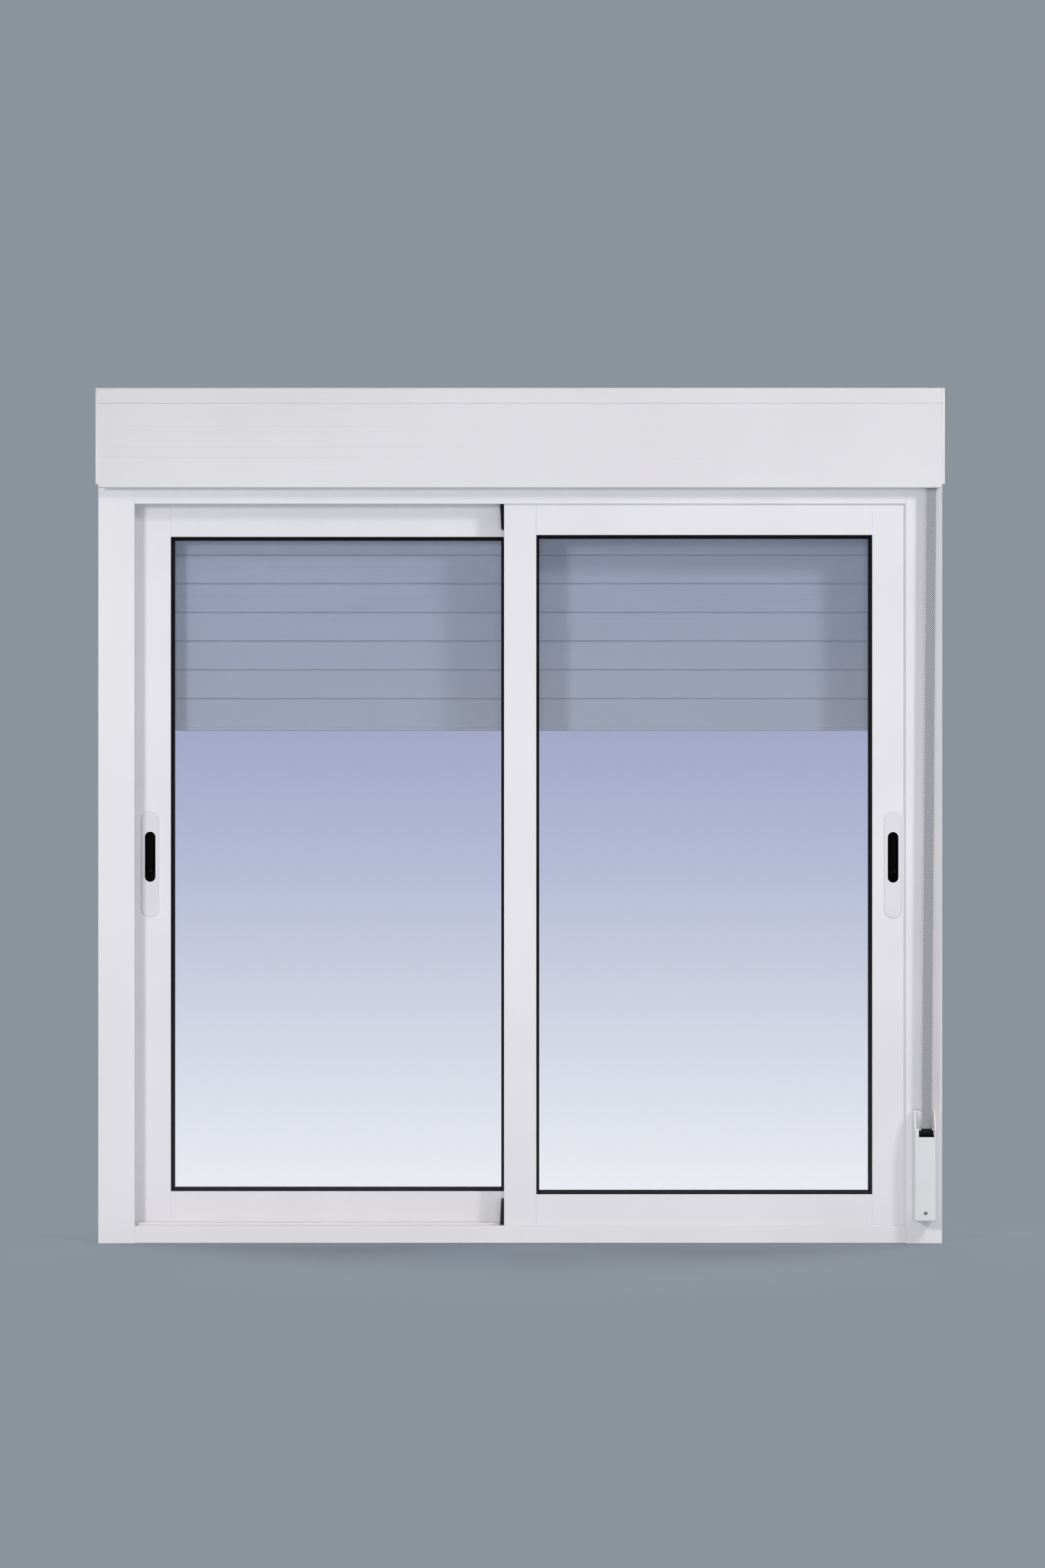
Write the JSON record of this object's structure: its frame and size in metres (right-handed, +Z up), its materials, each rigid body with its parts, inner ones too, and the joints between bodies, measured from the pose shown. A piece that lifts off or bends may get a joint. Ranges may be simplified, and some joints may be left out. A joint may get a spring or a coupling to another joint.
{
  "type": "horizontal sliding window",
  "caption": "Horizontal sliding window with insulating glass in white aluminium sashes on parallel tracks, under a roller shutter box worked by a strap and winder.",
  "frame": {"origin": "middle of the underside of the sill, on the bearing face", "axes": "+X to the right seen from the room, -Y towards the room, +Y outdoors, +Z up"},
  "size_m": [1.2, 0.1544, 1.213],
  "materials": {
    "white_aluminium": "satin powder coat",
    "shutter_white": "satin stove enamel",
    "box_white": "satin",
    "clear_glass": "polished",
    "spacer_grey": "satin",
    "black_rubber": "matte",
    "black_plastic": "gloss",
    "white_plastic": "semi-gloss",
    "grey_plastic": "matte",
    "tube_steel": "galvanised",
    "strap_weave": "woven"
  },
  "bodies": {
    "root": {"frame_head": "white_aluminium", "frame_sill": "white_aluminium", "left_jamb": "white_aluminium", "right_jamb": "white_aluminium", "left_shutter_guide": "white_aluminium", "right_shutter_guide": "white_aluminium", "left_lock_stile": "white_aluminium", "left_meeting_stile": "white_aluminium", "left_top_rail": "white_aluminium", "left_bottom_rail": "white_aluminium", "left_glass_panes": "clear_glass", "left_glass_spacer": "spacer_grey", "left_glazing_gasket": "black_rubber", "left_handle_plate": "white_aluminium", "left_lock_case": "black_plastic", "left_latch_slide": "black_plastic", "left_rollers": "grey_plastic", "right_lock_stile": "white_aluminium", "right_meeting_stile": "white_aluminium", "right_top_rail": "white_aluminium", "right_bottom_rail": "white_aluminium", "right_glass_panes": "clear_glass", "right_glass_spacer": "spacer_grey", "right_glazing_gasket": "black_rubber", "right_handle_plate": "white_aluminium", "right_lock_case": "black_plastic", "right_latch_slide": "black_plastic", "right_rollers": "grey_plastic", "top_draught_block": "black_rubber", "bottom_draught_block": "black_rubber", "box_top_profile": "box_white", "box_lid": "box_white", "box_base_profile": "box_white", "box_back_profile": "box_white", "box_left_cap": "white_plastic", "box_right_cap": "white_plastic", "roller_tube": "tube_steel", "rolled_curtain": "shutter_white", "strap_pulley": "grey_plastic", "shutter_slats": "shutter_white", "shutter_bottom_bar": "shutter_white", "shutter_strap": "strap_weave", "winder_tray": "white_plastic", "winder_cover": "white_plastic", "winder_roller": "black_plastic"}
  },
  "joints": []
}
